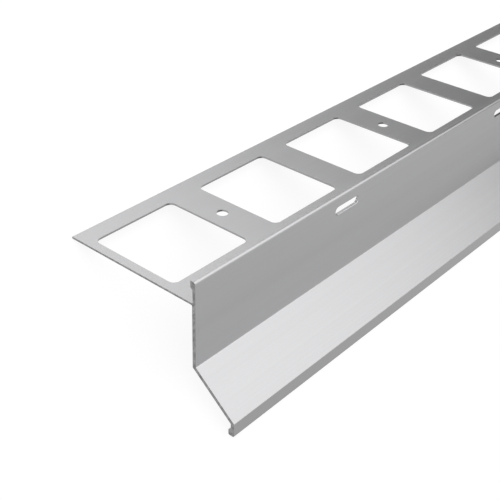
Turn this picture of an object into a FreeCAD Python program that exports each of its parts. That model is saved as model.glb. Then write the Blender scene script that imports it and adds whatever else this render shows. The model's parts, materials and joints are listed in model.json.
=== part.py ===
import FreeCAD, Part
import math
import os
import Sketcher
from FreeCAD import Placement, Rotation, Vector

# Balcony edge profile: one length of extruded aluminium.
# A thin bedding leg, punched with square mortar windows and screw holes, joins an upright face.
# The face rises past the leg as an upstand for the tiles and runs down in front of the slab edge.
# Below a crease it slopes outwards as a drip and ends in an upright lip with a bead.
#
# The section is drawn with the leg level: Y points in over the slab and Z points up.
# Y = 0 is the outer side of the face and Z = 0 is the top of the leg.
# X runs along the length from one cut end.

# Driving sizes in millimetres, each with what it measures
SIZES = {
    "stock_length": (2000.0, "length that the profile is sold in"),
    "leg_width": (70.0, "outer side of the face to the back edge of the leg"),
    "leg_thickness": (0.9, "thickness of the bedding leg"),
    "wall": (1.7, "thickness of face, drip and lip"),
    "upstand_height": (10.0, "top of the leg to the top of the upstand"),
    "upstand_wall": (1.4, "thickness of the upstand below its head"),
    "head_width": (2.5, "thickened head on the upstand, across"),
    "head_depth": (2.8, "thickened head on the upstand, from its top to its shoulder"),
    "crown_width": (0.9, "sloping outer part of the head's top, across"),
    "crown_fall": (0.55, "how far that part slopes down to the outer side of the face"),
    "face_depth": (30.0, "top of the leg to the crease"),
    "drip_reach": (20.3, "how far the drip stands out from the face"),
    "drip_fall": (17.0, "crease to the top of the lip"),
    "lip_depth": (6.8, "height of the upright lip"),
    "bead_width": (2.9, "bead along the foot of the lip, across"),
    "bead_depth": (2.7, "bead along the foot of the lip, from its shoulder down"),
    "profile_round": (0.6, "rounding of the crown's and the bead's long edges"),
    "small_round": (0.3, "rounding of the leg's back edge and of the head's inner edge"),
    "root_round": (0.5, "fillets where the leg meets the face, and in the crease"),
    "window_length": (43.6, "mortar window along the profile"),
    "window_width": (45.6, "mortar window across the leg"),
    "window_round": (3.0, "corner radius of a mortar window"),
    "window_setback": (15.3, "outer side of the face to the window's front edge"),
    "first_window": (4.2, "cut end to the first window"),
    "window_spacing": (60.8, "one window to the next within a stroke of the punch"),
    "stroke_pitch": (120.8, "one stroke of the punch to the next: two windows and a screw hole each"),
    "screw_hole": (5.3, "diameter of a screw hole"),
    "slot_length": (16.6, "drain slot in the upstand, end to end"),
    "slot_height": (3.7, "drain slot in the upstand, its height"),
    "slot_rim": (0.15, "bevel around a drain slot on the outer side, across and deep"),
    "slot_rise": (2.75, "top of the leg to the middle of a drain slot"),
    "first_slot": (94.7, "cut end to the middle of the first drain slot"),
    "slot_pitch": (136.0, "one drain slot to the next"),
    "weep_length": (34.0, "weep opening in the leg behind a drain slot, end to end"),
    "weep_width": (4.9, "weep opening in the leg, across"),
}


def make_sheet(doc):
    """The spreadsheet that holds the driving sizes, one alias for each."""
    sheet = doc.addObject("Spreadsheet::Sheet", "sizes")
    for row, (name, (value, meaning)) in enumerate(SIZES.items(), start=1):
        sheet.set(f"A{row}", name)
        sheet.set(f"B{row}", str(value))
        sheet.set(f"C{row}", meaning)
        sheet.setAlias(f"B{row}", name)
    doc.recompute()
    return sheet


def origin_plane(body, role):
    """One of the body's own origin planes."""
    for feature in body.Origin.OriginFeatures:
        if feature.Role == role:
            return feature
    raise RuntimeError(f"no plane {role}")


def new_sketch(body, name, role):
    """An empty sketch on one of the body's origin planes."""
    sketch = body.newObject("Sketcher::SketchObject", name)
    sketch.AttachmentSupport = [(origin_plane(body, role), "")]
    sketch.MapMode = "FlatFace"
    return sketch


# How a sketch counts its own axes, down from -1, and the points of a line or an arc, up from 1
HORIZONTAL_AXIS, VERTICAL_AXIS = range(-1, -3, -1)
START, END, CENTRE = range(1, 4)
ORIGIN = (HORIZONTAL_AXIS, START)

# The walls of a cut that is a bevel lean in by this many degrees as they go down, so it is as wide as deep
BEVEL_LEAN = -45.0


def dimension(sketch, name, expression, kind, *where):
    """Adds a dimension of one kind and binds it to an expression over the sheet."""
    value = sketch.evalExpression(expression)
    index = sketch.addConstraint(Sketcher.Constraint(kind, *where, float(value)))
    sketch.renameConstraint(index, name)
    sketch.setExpression(f"Constraints.{name}", expression)


def closed_outline(sketch, corners):
    """Straight lines from corner to corner and back to the first, joined end to start."""
    lines = []
    for here, there in zip(corners, corners[1:] + corners[:1]):
        lines.append(sketch.addGeometry(Part.LineSegment(Vector(*here, 0), Vector(*there, 0)), False))
    for line, following in zip(lines, lines[1:] + lines[:1]):
        sketch.addConstraint(Sketcher.Constraint("Coincident", line, END, following, START))
    return lines


def draw_section(sketch, size):
    """The extruded section with sharp corners, corner by corner from the top of the outer face."""
    wall = size["wall"]
    upstand_wall = size["upstand_wall"]
    top = size["upstand_height"]
    head_step = size["head_width"] - upstand_wall
    bead_step = size["bead_width"] - wall
    lip_top = -size["face_depth"] - size["drip_fall"]
    foot = lip_top - size["lip_depth"]
    outer = -size["drip_reach"]
    slope = math.hypot(size["drip_reach"], size["drip_fall"])
    # How far the inner corners of the drip lie below the outer ones, measured upright
    inner_drop = wall * (slope - size["drip_fall"]) / size["drip_reach"]
    corners = [
        (0, top - size["crown_fall"]),
        (size["crown_width"], top),
        (size["head_width"], top),
        (size["head_width"], top - size["head_depth"]),
        (upstand_wall, top - size["head_depth"] - head_step),
        (upstand_wall, 0),
        (size["leg_width"], 0),
        (size["leg_width"], -size["leg_thickness"]),
        (wall, -size["leg_thickness"]),
        (wall, -size["face_depth"] - inner_drop),
        (outer + wall, lip_top - inner_drop),
        (outer + wall, foot + size["bead_depth"] + bead_step),
        (outer + size["bead_width"], foot + size["bead_depth"]),
        (outer + size["bead_width"], foot),
        (outer, foot),
        (outer, lip_top),
        (0, -size["face_depth"]),
    ]
    (crown, head_top, head_side, head_shoulder, upstand_inside, leg_top, leg_back, leg_under, face_inside,
     drip_under, lip_inside, bead_shoulder, bead_side, bead_foot, lip_outside, drip_top,
     face_outside) = closed_outline(sketch, corners)

    for line in (head_top, leg_top, leg_under, bead_foot):
        sketch.addConstraint(Sketcher.Constraint("Horizontal", line))
    for line in (head_side, upstand_inside, leg_back, face_inside, lip_inside, bead_side,
                 lip_outside, face_outside):
        sketch.addConstraint(Sketcher.Constraint("Vertical", line))
    sketch.addConstraint(Sketcher.Constraint("Parallel", drip_under, drip_top))
    sketch.addConstraint(Sketcher.Constraint("PointOnObject", face_outside, END, VERTICAL_AXIS))
    sketch.addConstraint(Sketcher.Constraint("PointOnObject", leg_top, START, HORIZONTAL_AXIS))

    dimension(sketch, "upstand_height", "sizes.upstand_height", "DistanceY", *ORIGIN, head_top, START)
    dimension(sketch, "crown_width", "sizes.crown_width", "DistanceX", crown, START, crown, END)
    dimension(sketch, "crown_fall", "sizes.crown_fall", "DistanceY", crown, START, crown, END)
    dimension(sketch, "head_width", "sizes.head_width", "DistanceX", *ORIGIN, head_top, END)
    dimension(sketch, "head_depth", "sizes.head_depth", "DistanceY", head_side, END, head_side, START)
    dimension(sketch, "head_shoulder", "sizes.head_width - sizes.upstand_wall",
              "DistanceY", head_shoulder, END, head_shoulder, START)
    dimension(sketch, "upstand_wall", "sizes.upstand_wall", "DistanceX", *ORIGIN, leg_top, START)
    dimension(sketch, "face_wall", "sizes.wall", "DistanceX", *ORIGIN, face_inside, START)
    dimension(sketch, "leg_width", "sizes.leg_width", "DistanceX", *ORIGIN, leg_top, END)
    dimension(sketch, "leg_thickness", "sizes.leg_thickness", "DistanceY", leg_back, END, leg_back, START)
    dimension(sketch, "face_depth", "sizes.face_depth", "DistanceY", drip_top, END, *ORIGIN)
    dimension(sketch, "drip_reach", "sizes.drip_reach", "DistanceX", drip_top, START, drip_top, END)
    dimension(sketch, "drip_fall", "sizes.drip_fall", "DistanceY", drip_top, START, drip_top, END)
    dimension(sketch, "drip_wall", "sizes.wall", "Distance", drip_under, START, drip_top)
    dimension(sketch, "lip_depth", "sizes.lip_depth", "DistanceY", lip_outside, START, lip_outside, END)
    dimension(sketch, "lip_wall", "sizes.wall", "DistanceX", lip_outside, START, lip_inside, END)
    dimension(sketch, "bead_width", "sizes.bead_width", "DistanceX", bead_foot, END, bead_foot, START)
    dimension(sketch, "bead_depth", "sizes.bead_depth", "DistanceY", bead_side, END, bead_side, START)
    dimension(sketch, "bead_shoulder", "sizes.bead_width - sizes.wall",
              "DistanceY", bead_shoulder, END, bead_shoulder, START)


def draw_rounded_box(sketch, name, box, expressions):
    """A rectangle with round corners. box and expressions hold its low X, low Y, length, width and radius."""
    low_x, low_y, length, width, radius = box
    high_x = low_x + length
    high_y = low_y + width
    sides = [
        ((low_x + radius, low_y), (high_x - radius, low_y)),
        ((high_x, low_y + radius), (high_x, high_y - radius)),
        ((high_x - radius, high_y), (low_x + radius, high_y)),
        ((low_x, high_y - radius), (low_x, low_y + radius)),
    ]
    centres = [
        (high_x - radius, low_y + radius),
        (high_x - radius, high_y - radius),
        (low_x + radius, high_y - radius),
        (low_x + radius, low_y + radius),
    ]
    lines = []
    arcs = []
    for here, there in sides:
        lines.append(sketch.addGeometry(Part.LineSegment(Vector(*here, 0), Vector(*there, 0)), False))
    for quarter, centre in enumerate(centres, start=-1):
        circle = Part.Circle(Vector(*centre, 0), Vector(0, 0, 1), radius)
        arc = Part.ArcOfCircle(circle, quarter * math.pi / 2, (quarter + 1) * math.pi / 2)
        arcs.append(sketch.addGeometry(arc, False))
    for line, arc, following in zip(lines, arcs, lines[1:] + lines[:1]):
        sketch.addConstraint(Sketcher.Constraint("Tangent", line, END, arc, START))
        sketch.addConstraint(Sketcher.Constraint("Tangent", arc, END, following, START))
    front, far, back, near = lines
    for line in (front, back):
        sketch.addConstraint(Sketcher.Constraint("Horizontal", line))
    for line in (far, near):
        sketch.addConstraint(Sketcher.Constraint("Vertical", line))
    for arc in arcs[1:]:
        sketch.addConstraint(Sketcher.Constraint("Equal", arcs[0], arc))
    at_x, at_y, along, across, corner = expressions
    dimension(sketch, f"{name}_corner", corner, "Radius", arcs[0])
    dimension(sketch, f"{name}_at_x", at_x, "DistanceX", *ORIGIN, near, END)
    dimension(sketch, f"{name}_at_y", at_y, "DistanceY", *ORIGIN, front, START)
    dimension(sketch, f"{name}_length", along, "DistanceX", near, END, far, START)
    dimension(sketch, f"{name}_width", across, "DistanceY", front, START, back, END)


def draw_oblong(sketch, name, middle, length, height, expressions):
    """A slot with half-round ends, lying along the sketch's first axis, given by its middle."""
    radius = height / 2
    left_centre = Vector(middle[0] - length / 2 + radius, middle[1], 0)
    right_centre = Vector(middle[0] + length / 2 - radius, middle[1], 0)
    rise = Vector(0, radius, 0)
    axis = Vector(0, 0, 1)
    left_circle = Part.Circle(left_centre, axis, radius)
    right_circle = Part.Circle(right_centre, axis, radius)
    low = sketch.addGeometry(Part.LineSegment(left_centre - rise, right_centre - rise), False)
    right = sketch.addGeometry(Part.ArcOfCircle(right_circle, -math.pi / 2, math.pi / 2), False)
    high = sketch.addGeometry(Part.LineSegment(right_centre + rise, left_centre + rise), False)
    left = sketch.addGeometry(Part.ArcOfCircle(left_circle, math.pi / 2, 3 * math.pi / 2), False)
    for here, there in ((low, right), (right, high), (high, left), (left, low)):
        sketch.addConstraint(Sketcher.Constraint("Tangent", here, END, there, START))
    sketch.addConstraint(Sketcher.Constraint("Horizontal", low))
    sketch.addConstraint(Sketcher.Constraint("Equal", right, left))
    at_x, at_y, along, across = expressions
    dimension(sketch, f"{name}_radius", f"({across}) / 2", "Radius", right)
    dimension(sketch, f"{name}_start", f"{at_x} - ({along} - {across}) / 2",
              "DistanceX", *ORIGIN, left, CENTRE)
    dimension(sketch, f"{name}_rise", at_y, "DistanceY", *ORIGIN, left, CENTRE)
    dimension(sketch, f"{name}_run", f"{along} - {across}", "DistanceX", left, CENTRE, right, CENTRE)


def draw_box(sketch, name, middle, length, width, expressions):
    """A rectangle with plain corners, given by its middle."""
    low_x = middle[0] - length / 2
    low_y = middle[1] - width / 2
    high_x = low_x + length
    high_y = low_y + width
    front, far, back, near = closed_outline(sketch, [
        (low_x, low_y),
        (high_x, low_y),
        (high_x, high_y),
        (low_x, high_y),
    ])
    for line in (front, back):
        sketch.addConstraint(Sketcher.Constraint("Horizontal", line))
    for line in (far, near):
        sketch.addConstraint(Sketcher.Constraint("Vertical", line))
    at_x, at_y, along, across = expressions
    dimension(sketch, f"{name}_start", f"{at_x} - {along} / 2", "DistanceX", *ORIGIN, front, START)
    dimension(sketch, f"{name}_front", f"{at_y} - {across} / 2", "DistanceY", *ORIGIN, front, START)
    dimension(sketch, f"{name}_length", along, "DistanceX", front, START, front, END)
    dimension(sketch, f"{name}_width", across, "DistanceY", far, START, far, END)


def round_long_edges(body, name, radius, places):
    """Fillets the edges that run along X through the given points of the section."""
    body.Document.recompute()
    base = body.Tip
    near_enough = 1e-4
    picked = []
    for number, edge in enumerate(base.Shape.Edges, start=1):
        start = edge.valueAt(edge.FirstParameter)
        end = edge.valueAt(edge.LastParameter)
        runs_along = math.hypot(end.y - start.y, end.z - start.z) < near_enough
        if runs_along and any(math.hypot(start.y - y, start.z - z) < near_enough for y, z in places):
            picked.append(f"Edge{number}")
    if len(picked) != len(places):
        raise RuntimeError(f"{name}: {len(picked)} edges for {len(places)} places")
    fillet = body.newObject("PartDesign::Fillet", name)
    fillet.Base = (base, picked)
    fillet.setExpression("Radius", radius)
    body.Tip = fillet
    return fillet


def cut(body, sketch, name, depth=None, lean=0.0):
    """A pocket below the sketch plane, as deep as the expression or right through. Its walls may lean."""
    before = body.Tip
    body.Document.recompute()
    volume = before.Shape.Volume
    pocket = body.newObject("PartDesign::Pocket", name)
    pocket.Profile = sketch
    pocket.TaperAngle = lean
    if depth is None:
        pocket.Type = "ThroughAll"
    else:
        pocket.Type = "Length"
        pocket.setExpression("Length", depth)
    body.Tip = pocket
    body.Document.recompute()
    if not pocket.Shape.Volume < volume:
        raise RuntimeError(f"{name} cuts nothing")
    return pocket


def repeat_along(body, feature, name, pitch, count):
    """Copies a cut along the profile."""
    pattern = body.newObject("PartDesign::LinearPattern", name)
    pattern.Originals = [feature]
    pattern.Direction = (origin_plane(body, "X_Axis"), [""])
    pattern.Mode = "Spacing"
    pattern.setExpression("Offset", pitch)
    pattern.setExpression("Occurrences", count)
    body.Tip = pattern
    body.Document.recompute()
    return pattern


def make_profile(doc, size):
    """The profile with its leg level, from the section to the last punched slot."""
    body = doc.addObject("PartDesign::Body", "edge_profile")
    body.Label = "edge_profile"

    section = new_sketch(body, "section", "YZ_Plane")
    draw_section(section, size)
    stock = body.newObject("PartDesign::Pad", "stock")
    stock.Profile = section
    stock.setExpression("Length", "sizes.stock_length")
    body.Tip = stock

    top = size["upstand_height"]
    foot = -size["face_depth"] - size["drip_fall"] - size["lip_depth"]
    bead_inner = size["bead_width"] - size["drip_reach"]
    round_long_edges(body, "round_crown_and_bead", "sizes.profile_round", [
        (0, top - size["crown_fall"]),
        (size["crown_width"], top),
        (-size["drip_reach"], foot),
        (bead_inner, foot),
        (bead_inner, foot + size["bead_depth"]),
    ])
    round_long_edges(body, "round_leg_and_head", "sizes.small_round", [
        (size["head_width"], top),
        (size["leg_width"], 0),
        (size["leg_width"], -size["leg_thickness"]),
    ])
    round_long_edges(body, "fillet_roots", "sizes.root_round", [
        (size["upstand_wall"], 0),
        (size["wall"], -size["leg_thickness"]),
        (0, -size["face_depth"]),
    ])

    window_box = (size["first_window"], size["window_setback"], size["window_length"],
                  size["window_width"], size["window_round"])
    window_sizes = ("sizes.window_setback", "sizes.window_length", "sizes.window_width",
                    "sizes.window_round")
    leading = new_sketch(body, "leading_window", "XY_Plane")
    draw_rounded_box(leading, "window", window_box, ("sizes.first_window", *window_sizes))
    leading_cut = cut(body, leading, "punch_leading_window")
    repeat_along(body, leading_cut, "leading_windows", "sizes.stroke_pitch",
                 "floor((sizes.stock_length - sizes.first_window - sizes.window_length)"
                 " / sizes.stroke_pitch) + 1")

    trailing = new_sketch(body, "trailing_window_and_screw_hole", "XY_Plane")
    trailing_box = (window_box[0] + size["window_spacing"], *window_box[1:])
    draw_rounded_box(trailing, "window", trailing_box,
                     ("sizes.first_window + sizes.window_spacing", *window_sizes))
    screw_x = size["first_window"] + (size["window_length"] + size["window_spacing"]) / 2
    screw_y = size["window_setback"] + size["window_width"] / 2
    screw_circle = Part.Circle(Vector(screw_x, screw_y, 0), Vector(0, 0, 1), size["screw_hole"] / 2)
    screw = trailing.addGeometry(screw_circle, False)
    dimension(trailing, "screw_hole", "sizes.screw_hole", "Diameter", screw)
    dimension(trailing, "screw_at_x", "sizes.first_window + (sizes.window_length + sizes.window_spacing) / 2",
              "DistanceX", *ORIGIN, screw, CENTRE)
    dimension(trailing, "screw_at_y", "sizes.window_setback + sizes.window_width / 2",
              "DistanceY", *ORIGIN, screw, CENTRE)
    trailing_cut = cut(body, trailing, "punch_trailing_window")
    repeat_along(body, trailing_cut, "trailing_windows", "sizes.stroke_pitch",
                 "floor((sizes.stock_length - sizes.first_window - sizes.window_spacing"
                 " - sizes.window_length) / sizes.stroke_pitch) + 1")

    slot_count = ("floor((sizes.stock_length - sizes.first_slot - sizes.weep_length / 2)"
                  " / sizes.slot_pitch) + 1")
    slot_middle = (size["first_slot"], size["slot_rise"])
    slot = new_sketch(body, "drain_slot", "XZ_Plane")
    draw_oblong(slot, "slot", slot_middle, size["slot_length"], size["slot_height"],
                ("sizes.first_slot", "sizes.slot_rise", "sizes.slot_length", "sizes.slot_height"))
    slot_cut = cut(body, slot, "punch_drain_slot", "sizes.upstand_wall")
    repeat_along(body, slot_cut, "drain_slots", "sizes.slot_pitch", slot_count)

    rim = new_sketch(body, "drain_slot_rim", "XZ_Plane")
    draw_oblong(rim, "rim", slot_middle, size["slot_length"] + 2 * size["slot_rim"],
                size["slot_height"] + 2 * size["slot_rim"],
                ("sizes.first_slot", "sizes.slot_rise", "(sizes.slot_length + 2 * sizes.slot_rim)",
                 "(sizes.slot_height + 2 * sizes.slot_rim)"))
    rim_cut = cut(body, rim, "bevel_drain_slot", "sizes.slot_rim", lean=BEVEL_LEAN)
    repeat_along(body, rim_cut, "drain_slot_bevels", "sizes.slot_pitch", slot_count)

    # The weep openings start flush with the inner side of the face and take the fillet above the leg with them
    weep_y = size["wall"] + size["weep_width"] / 2
    weep = new_sketch(body, "weep_opening", "XY_Plane")
    weep.setExpression("AttachmentOffset.Base.z", "sizes.root_round")
    draw_box(weep, "weep", (size["first_slot"], weep_y), size["weep_length"], size["weep_width"],
             ("sizes.first_slot", "(sizes.wall + sizes.weep_width / 2)",
              "sizes.weep_length", "sizes.weep_width"))
    weep_cut = cut(body, weep, "punch_weep_opening", "sizes.root_round + sizes.leg_thickness")
    repeat_along(body, weep_cut, "weep_openings", "sizes.slot_pitch", slot_count)
    return body


def resting_tilt(size):
    """Angle in degrees between the leg and a floor that the bead's foot and the leg's back edge touch."""
    bead_centre_y = size["bead_width"] - size["drip_reach"] - size["profile_round"]
    bead_centre_z = size["profile_round"] - size["face_depth"] - size["drip_fall"] - size["lip_depth"]
    leg_centre_y = size["leg_width"] - size["small_round"]
    leg_centre_z = size["small_round"] - size["leg_thickness"]
    across = leg_centre_y - bead_centre_y
    up = leg_centre_z - bead_centre_z
    difference = size["profile_round"] - size["small_round"]
    return math.degrees(math.atan2(up, across) + math.asin(difference / math.hypot(up, across)))


def lay_on_floor(body, size):
    """Turns the profile about its length until it rests, and centres its foot on the origin."""
    turned = body.Shape.copy()
    tilt = Rotation(Vector(1, 0, 0), -resting_tilt(size))
    turned.Placement = Placement(Vector(0, 0, 0), tilt)
    box = turned.optimalBoundingBox(False, False)
    body.Placement = Placement(Vector(-box.Center.x, -box.Center.y, -box.ZMin), tilt)


def check(doc, body):
    """Stops before anything is written if a feature failed or the profile isn't one valid solid."""
    for item in doc.Objects:
        if "Invalid" in item.State or "Error" in item.State:
            raise RuntimeError(f"{item.Name} failed")
    if body.Shape.isNull() or not body.Shape.isValid() or len(body.Shape.Solids) != 1:
        raise RuntimeError("the profile is not one valid solid")


doc = FreeCAD.newDocument("balcony_edge_profile")
sheet = make_sheet(doc)
size = {name: float(sheet.get(name)) for name in SIZES}
profile = make_profile(doc, size)
doc.recompute()
lay_on_floor(profile, size)
doc.recompute()
check(doc, profile)
os.makedirs("parts", exist_ok=True)
profile.Shape.exportStep(f"parts/{profile.Label}.step")
print(f"{profile.Label}: {profile.Shape.Volume / 1000:.1f} cm3, tilt {resting_tilt(size):.2f} degrees,"
      f" box {profile.Shape.BoundBox}")
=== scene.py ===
import json
import math

import bpy
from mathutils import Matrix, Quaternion, Vector

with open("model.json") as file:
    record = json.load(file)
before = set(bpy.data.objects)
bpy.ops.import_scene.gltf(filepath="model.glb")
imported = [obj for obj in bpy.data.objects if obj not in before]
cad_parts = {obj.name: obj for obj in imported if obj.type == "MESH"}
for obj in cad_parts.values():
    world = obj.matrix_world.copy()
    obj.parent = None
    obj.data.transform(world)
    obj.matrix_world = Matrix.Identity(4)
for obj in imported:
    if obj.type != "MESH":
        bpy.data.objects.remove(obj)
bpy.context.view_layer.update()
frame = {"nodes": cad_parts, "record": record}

# Balcony edge profile: one extruded and punched length of aluminium, natural anodised to a satin finish.
# It lies on the back edge of its bedding leg and the foot of its lip.
# Lengths are in metres, and in millimetres where they belong to the section or to a pattern on the metal.

MM = 0.001
HALF_LENGTH = 1.0
WALL = 1.7 * MM

# The section's own directions while it rests, as the part gives them
ALONG = Vector((1.0, 0.0, 0.0))
ACROSS_LEG = Vector((0.0, 0.85606662, -0.5168655))
UP_FROM_LEG = Vector((0.0, 0.5168655, 0.85606662))
LEG_TILT = math.atan2(UP_FROM_LEG.y, UP_FROM_LEG.z)

# Where the punched walls lie in the section, in millimetres: the middle of each span and half of it.
# The spans end just inside the metal, so that its flat sides stay out.
LEG_MIDDLE_Z, LEG_HALF_Z = -0.45, 0.40
LEG_MIDDLE_Y, LEG_HALF_Y = 35.7, 33.9
UPSTAND_MIDDLE_Y, UPSTAND_HALF_Y = 0.70, 0.67
SLOT_MIDDLE_Z, SLOT_HALF_Z = 2.75, 2.05

# Heights in the section, in millimetres from the top of the leg: where the painted light on the face starts and
# where it is strongest, then just below the crease, the top of the lip and its foot
PAINTED_LIGHT_FROM, PAINTED_LIGHT_FULL_AT = -12.0, -29.5
BELOW_CREASE, TOP_OF_LIP, FOOT_OF_LIP = -30.2, -47.4, -53.0

# Sizes of the patterns on the metal, in millimetres
LINE_GAP, LINE_LENGTH = 0.6, 400.0
BAND_GAP, BAND_LENGTH = 9.0, 900.0
GRAIN = 0.35
TOOTH_GAP, TORN_PATCH = 0.7, 1.8
SAWN_DEPTH = 1.0


def linear(hex_colour):
    """An sRGB hex colour as linear red, green, blue and a full alpha."""
    parts = [int(hex_colour[at:at + 2], 16) / 255 for at in (1, 3, 5)]
    return tuple(v / 12.92 if v <= 0.04045 else ((v + 0.055) / 1.055) ** 2.4 for v in parts) + (1.0,)


def add(tree, kind, inputs=None, **settings):
    """Adds a node, with its settings, and sets or links its inputs."""
    node = tree.nodes.new(kind)
    for name, value in settings.items():
        setattr(node, name, value)
    for name, value in (inputs or {}).items():
        if isinstance(value, bpy.types.NodeSocket):
            tree.links.new(value, node.inputs[name])
        else:
            node.inputs[name].default_value = value
    return node


def add_shares(tree, start, shares):
    """The start value plus each pattern times its share, as one output."""
    total = start
    for pattern, share in shares:
        total = add(tree, "ShaderNodeMath", {0: pattern, 1: share, 2: total}, operation="MULTIPLY_ADD").outputs[0]
    return total


def new_material(name):
    """An empty node material and its tree."""
    material = bpy.data.materials.new(name)
    material.use_nodes = True
    material.node_tree.nodes.clear()
    return material, material.node_tree


# A colour mix node's inputs and output by number, since its names repeat for other kinds of value
MIX_SHARE, MIX_FIRST, MIX_SECOND, MIX_RESULT = 0, 6, 7, 2


def anodised_aluminium(corner):
    """Aluminium pressed through a die, etched matt, anodised in its natural colour, then punched and sawn.

    The etch gives an even satin sheen with a fine grain, and the die leaves faint lines along the profile.
    Painted light lightens the face towards the crease, and painted shade darkens the lip and its foot.
    The punch leaves the walls of the openings bare and a little smoother, and the slots' round ends carry a painted
    highlight.
    The saw leaves both ends duller, with the marks of its teeth and torn patches between them.
    """
    material, tree = new_material("natural_anodised_aluminium")

    # Position in the section's own axes, in millimetres: x along the profile, y across the leg, z up from it
    place = add(tree, "ShaderNodeTexCoord").outputs["Object"]
    from_corner = add(tree, "ShaderNodeVectorMath", {0: place, 1: corner}, operation="SUBTRACT").outputs[0]
    turned = add(tree, "ShaderNodeVectorRotate", {"Vector": from_corner, "Angle": LEG_TILT},
                 rotation_type="X_AXIS").outputs[0]
    section = add(tree, "ShaderNodeVectorMath", {0: turned, 3: 1 / MM}, operation="SCALE").outputs[0]
    at = add(tree, "ShaderNodeSeparateXYZ", {0: section}).outputs

    # Die lines: close together across the section, and drawn out along it
    stretched = add(tree, "ShaderNodeVectorMath", {0: section, 1: (1 / LINE_LENGTH, 1 / LINE_GAP, 1 / LINE_GAP)},
                    operation="MULTIPLY").outputs[0]
    lines = add(tree, "ShaderNodeTexNoise", {"Vector": stretched, "Scale": 1.0, "Detail": 3.0,
                                             "Roughness": 0.55}).outputs[0]
    # Broad bands of slightly different sheen, where the die runs hotter or cooler
    broad = add(tree, "ShaderNodeVectorMath", {0: section, 1: (1 / BAND_LENGTH, 1 / BAND_GAP, 1 / BAND_GAP)},
                operation="MULTIPLY").outputs[0]
    bands = add(tree, "ShaderNodeTexNoise", {"Vector": broad, "Scale": 1.0, "Detail": 1.0}).outputs[0]
    # Etch grain: real pits are about 0.02 mm, drawn coarser so that they show
    grain = add(tree, "ShaderNodeTexNoise", {"Vector": section, "Scale": 1 / GRAIN, "Detail": 2.0,
                                             "Roughness": 0.6}).outputs[0]

    # The sawn ends: close to an end, where the surface looks straight along the profile
    normal = add(tree, "ShaderNodeSeparateXYZ",
                 {0: add(tree, "ShaderNodeNewGeometry").outputs["True Normal"]}).outputs
    looks_along = add(tree, "ShaderNodeMath", {0: normal["X"]}, operation="ABSOLUTE").outputs[0]
    middle = HALF_LENGTH / MM
    between_ends = add(tree, "ShaderNodeMath", {0: at["X"], 1: middle, 2: middle - SAWN_DEPTH},
                       operation="COMPARE").outputs[0]
    beyond = add(tree, "ShaderNodeMath", {0: looks_along, 1: between_ends}, operation="SUBTRACT").outputs[0]
    sawn = add(tree, "ShaderNodeMath", {0: beyond, 1: 0.99}, operation="GREATER_THAN").outputs[0]

    # The punched walls: inside the thickness of the leg, or inside that of the upstand beside its slots
    in_leg = add(tree, "ShaderNodeMath", {0: at["Z"], 1: LEG_MIDDLE_Z, 2: LEG_HALF_Z},
                 operation="COMPARE").outputs[0]
    over_leg = add(tree, "ShaderNodeMath", {0: at["Y"], 1: LEG_MIDDLE_Y, 2: LEG_HALF_Y},
                   operation="COMPARE").outputs[0]
    in_upstand = add(tree, "ShaderNodeMath", {0: at["Y"], 1: UPSTAND_MIDDLE_Y, 2: UPSTAND_HALF_Y},
                     operation="COMPARE").outputs[0]
    by_slots = add(tree, "ShaderNodeMath", {0: at["Z"], 1: SLOT_MIDDLE_Z, 2: SLOT_HALF_Z},
                   operation="COMPARE").outputs[0]
    leg_wall = add(tree, "ShaderNodeMath", {0: in_leg, 1: over_leg}, operation="MULTIPLY").outputs[0]
    slot_wall = add(tree, "ShaderNodeMath", {0: in_upstand, 1: by_slots}, operation="MULTIPLY").outputs[0]
    any_wall = add(tree, "ShaderNodeMath", {0: leg_wall, 1: slot_wall}, operation="MAXIMUM").outputs[0]
    punched = add(tree, "ShaderNodeMath", {0: any_wall, 1: sawn}, operation="SUBTRACT",
                  use_clamp=True).outputs[0]

    # Saw marks: lines of the teeth, with torn patches between them. The wave's length at scale 1 is a fixed one.
    wave_length = 2 * math.pi / 20
    tooth = add(tree, "ShaderNodeTexWave", {"Vector": section, "Scale": wave_length / TOOTH_GAP,
                                            "Distortion": 1.2, "Detail": 2.0, "Detail Scale": 3.0},
                bands_direction="Z").outputs["Fac"]
    patch = add(tree, "ShaderNodeTexNoise", {"Vector": section, "Scale": 1 / TORN_PATCH, "Detail": 3.0,
                                             "Roughness": 0.7}).outputs[0]
    torn = add(tree, "ShaderNodeMapRange", {0: patch, 1: 0.36, 2: 0.64}).outputs[0]
    saw_mark = add_shares(tree, 0.0, ((tooth, 0.35), (torn, 0.65)))

    # Colour: a light neutral grey, a little lighter and darker with the lines, the grain and the bands
    tone = add_shares(tree, 0.075, ((lines, 0.30), (grain, 0.35), (bands, 0.20)))
    satin = add(tree, "ShaderNodeMix", {MIX_SHARE: tone, MIX_FIRST: linear("#8F8F90"),
                                        MIX_SECOND: linear("#A6A6A7")}, data_type="RGBA")
    # Painted light lightens the face towards the crease; painted shade darkens the lip, and its foot more
    painted_light_to_crease = add(tree, "ShaderNodeMapRange", {0: at["Z"], 1: PAINTED_LIGHT_FROM, 2: PAINTED_LIGHT_FULL_AT, 3: 0.0,
                                                 4: 0.19}).outputs[0]
    over_drip = add(tree, "ShaderNodeMath", {0: at["Z"], 1: BELOW_CREASE}, operation="GREATER_THAN").outputs[0]
    painted_shade_on_lip = add(tree, "ShaderNodeMath", {0: at["Z"], 1: TOP_OF_LIP}, operation="LESS_THAN").outputs[0]
    painted_shade_at_foot = add(tree, "ShaderNodeMath", {0: at["Z"], 1: FOOT_OF_LIP}, operation="LESS_THAN").outputs[0]
    painted_light_on_face = add(tree, "ShaderNodeMath", {0: painted_light_to_crease, 1: over_drip, 2: 1.0},
                     operation="MULTIPLY_ADD").outputs[0]
    level = add_shares(tree, painted_light_on_face, ((painted_shade_on_lip, -0.12), (painted_shade_at_foot, -0.15)))
    with_painted_light_and_shade = add(tree, "ShaderNodeVectorMath", {0: satin.outputs[MIX_RESULT], 3: level},
                 operation="SCALE").outputs[0]
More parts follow.
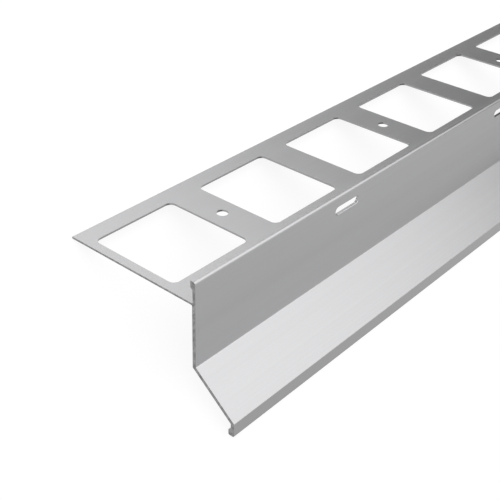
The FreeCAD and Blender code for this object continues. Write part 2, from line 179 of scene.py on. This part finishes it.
    # Bare metal on the punched walls, with a painted highlight where a slot's wall turns to look along the profile
    with_leg_walls = add(tree, "ShaderNodeMix", {MIX_SHARE: leg_wall, MIX_FIRST: with_painted_light_and_shade,
                                                 MIX_SECOND: linear("#9E9E9F")}, data_type="RGBA")
    slot_wall_with_painted_highlight = add(tree, "ShaderNodeMix", {MIX_SHARE: looks_along, MIX_FIRST: linear("#9A9A9B"),
                                            MIX_SECOND: linear("#B4B4B5")}, data_type="RGBA")
    with_walls = add(tree, "ShaderNodeMix", {MIX_SHARE: slot_wall, MIX_FIRST: with_leg_walls.outputs[MIX_RESULT],
                                             MIX_SECOND: slot_wall_with_painted_highlight.outputs[MIX_RESULT]}, data_type="RGBA")
    # Sawn metal, darker in the cuts and lighter where it is torn
    cut = add(tree, "ShaderNodeMix", {MIX_SHARE: saw_mark, MIX_FIRST: linear("#656566"),
                                      MIX_SECOND: linear("#A3A3A4")}, data_type="RGBA")
    colour = add(tree, "ShaderNodeMix", {MIX_SHARE: sawn, MIX_FIRST: with_walls.outputs[MIX_RESULT],
                                         MIX_SECOND: cut.outputs[MIX_RESULT]}, data_type="RGBA")

    # Roughness: satin, a little different from line to line, smoother where punched and duller where sawn
    rough = add_shares(tree, 0.2925, ((lines, 0.035), (bands, 0.04), (punched, -0.12), (sawn, 0.08)))

    # Relief: die lines of about 1 micrometre, etch grain of 3 and saw marks of 50
    line_bump = add(tree, "ShaderNodeBump", {"Height": lines, "Strength": 0.5, "Distance": 0.0025 * MM})
    grain_bump = add(tree, "ShaderNodeBump", {"Height": grain, "Strength": 0.5, "Distance": 0.006 * MM,
                                              "Normal": line_bump.outputs[0]})
    saw_height = add(tree, "ShaderNodeMath", {0: saw_mark, 1: sawn}, operation="MULTIPLY").outputs[0]
    saw_bump = add(tree, "ShaderNodeBump", {"Height": saw_height, "Strength": 1.0, "Distance": 0.05 * MM,
                                            "Normal": grain_bump.outputs[0]})

    surface = add(tree, "ShaderNodeBsdfPrincipled", {"Base Color": colour.outputs[MIX_RESULT], "Metallic": 1.0,
                                                     "Roughness": rough, "Normal": saw_bump.outputs[0]})
    add(tree, "ShaderNodeOutputMaterial", {"Surface": surface.outputs[0]})
    return material


def make_floor():
    """A wide matt white floor. The picture and reflections show it nearly white; the profile's shadow stays."""
    mesh = bpy.data.meshes.new("floor")
    half = 20.0
    mesh.from_pydata([(-half, -half, 0), (half, -half, 0), (half, half, 0), (-half, half, 0)], [], [(0, 1, 2, 3)])
    floor = bpy.data.objects.new("floor", mesh)
    bpy.context.scene.collection.objects.link(floor)

    material, tree = new_material("matt_white_floor")
    matt = add(tree, "ShaderNodeBsdfDiffuse", {"Color": linear("#F2F2F2")})
    white = add(tree, "ShaderNodeEmission", {"Color": (1, 1, 1, 1), "Strength": 1.0})
    # What isn't plain white is left for the shadow
    plain_white = 0.90
    share = add(tree, "ShaderNodeMath", {0: seen_in_picture(tree), 1: plain_white}, operation="MULTIPLY").outputs[0]
    both = add(tree, "ShaderNodeMixShader", {0: share, 1: matt.outputs[0], 2: white.outputs[0]})
    add(tree, "ShaderNodeOutputMaterial", {"Surface": both.outputs[0]})
    mesh.materials.append(material)


def seen_in_picture(tree):
    """1 for what the picture shows straight, in a reflection or through glass, else 0."""
    path = add(tree, "ShaderNodeLightPath")
    direct = add(tree, "ShaderNodeMath", {0: path.outputs["Is Camera Ray"], 1: path.outputs["Is Glossy Ray"]},
                 operation="MAXIMUM").outputs[0]
    return add(tree, "ShaderNodeMath", {0: direct, 1: path.outputs["Is Transmission Ray"]},
               operation="MAXIMUM").outputs[0]


def make_world():
    """Soft light from all round, and a white surrounding in the picture and in reflections."""
    world = bpy.data.worlds.new("studio")
    world.use_nodes = True
    tree = world.node_tree
    tree.nodes.clear()
    light = add(tree, "ShaderNodeBackground", {"Color": linear("#FFFFFF"), "Strength": 0.6})
    white = add(tree, "ShaderNodeBackground", {"Color": (1, 1, 1, 1), "Strength": 1.0})
    both = add(tree, "ShaderNodeMixShader", {0: seen_in_picture(tree), 1: light.outputs[0], 2: white.outputs[0]})
    add(tree, "ShaderNodeOutputWorld", {"Surface": both.outputs[0]})
    bpy.context.scene.world = world


def soft_lamp(name, place, aim, width, height, watts):
    """A large soft box, turned to its aim. The camera doesn't see it."""
    lamp = bpy.data.lights.new(name, "AREA")
    lamp.shape = "RECTANGLE"
    lamp.size = width
    lamp.size_y = height
    lamp.energy = watts
    holder = bpy.data.objects.new(name, lamp)
    holder.location = place
    holder.rotation_mode = "QUATERNION"
    holder.rotation_quaternion = (Vector(aim) - Vector(place)).to_track_quat("-Z", "Y")
    holder.visible_camera = False
    bpy.context.scene.collection.objects.link(holder)


def dark_card(name, corners):
    """A matt dark card beside the set, which the metal mirrors as its darker side.

    The camera doesn't see it, and it casts no shadow and doesn't shade the floor.
    """
    mesh = bpy.data.meshes.new(name)
    mesh.from_pydata(corners, [], [(0, 1, 2, 3)])
    card = bpy.data.objects.new(name, mesh)
    bpy.context.scene.collection.objects.link(card)
    card.visible_camera = False
    card.visible_diffuse = False
    card.visible_shadow = False
    material, tree = new_material("matt_" + name)
    matt = add(tree, "ShaderNodeBsdfDiffuse", {"Color": linear("#3A3A3C")})
    add(tree, "ShaderNodeOutputMaterial", {"Surface": matt.outputs[0]})
    mesh.materials.append(material)


def make_camera():
    """The photograph's view: down on the near end, along the profile. It was fitted to the straight edges there."""
    camera = bpy.data.objects.new("camera", bpy.data.cameras.new("camera"))
    bpy.context.scene.collection.objects.link(camera)
    eye = Vector((-1.2125607, -0.07240527, 0.32877415))
    aim = Vector((-0.92594251, 0.00663068, 0.0))
    roll = math.radians(38.3436)
    level = (aim - eye).to_track_quat("-Z", "Y")
    camera.rotation_mode = "QUATERNION"
    camera.rotation_quaternion = level @ Quaternion((0, 0, 1), roll)
    camera.location = eye
    camera.data.sensor_width = 36.0
    camera.data.lens = 70.796
    camera.data.shift_x = -0.02
    camera.data.clip_start = 0.01
    camera.data.clip_end = 100.0
    bpy.context.scene.camera = camera


# The corner of the section at the near end, where the leg's upper side meets the outer side of the face
mounts = {mount["name"]: mount for mount in frame["record"]["mounts"]}
leg_top = Vector(mounts["leg_top"]["pos_m"])
slab_side = Vector(mounts["slab_side"]["pos_m"])
section_corner = (UP_FROM_LEG * leg_top.dot(UP_FROM_LEG) + ACROSS_LEG * (slab_side.dot(ACROSS_LEG) - WALL)
                  - ALONG * HALF_LENGTH)

profile = frame["nodes"]["edge_profile"]
aluminium = anodised_aluminium(section_corner)
for slot in profile.material_slots:
    slot.material = aluminium

make_floor()
make_world()
make_camera()

# Soft boxes above, behind and in front, each wider than the profile is long
soft_lamp("lamp_overhead", place=(0.0, 0.0, 2.0), aim=(0.0, 0.0, 0.0), width=4.4, height=3.0, watts=62.0)
soft_lamp("lamp_behind", place=(0.1, 2.2, 0.6), aim=(0.1, 0.0, 0.6), width=4.4, height=1.2, watts=37.0)
soft_lamp("lamp_front", place=(-0.1, -2.2, 0.55), aim=(-0.1, 0.0, 0.3), width=3.4, height=1.1, watts=11.0)

# Dark cards past the far end and behind. The card before the lamp has a sloping upper edge, so that the leg
# mirrors more of it farther along and darkens evenly along its length.
past_end, behind, before_lamp, in_front = 2.5, 2.3, 2.15, -2.0
dark_card("card_at_far_end", [(past_end, in_front, 0.0), (past_end, behind, 0.0),
                              (past_end, behind, 2.4), (past_end, in_front, 2.4)])
dark_card("card_before_lamp", [(0.4, before_lamp, 0.0), (past_end, before_lamp, 0.0),
                               (past_end, before_lamp, 1.25), (0.4, before_lamp, 0.01)])
dark_card("card_behind", [(-2.6, behind, 0.0), (past_end, behind, 0.0),
                          (past_end, behind, 1.7), (-2.6, behind, 1.7)])

bpy.context.scene.view_settings.view_transform = "Standard"
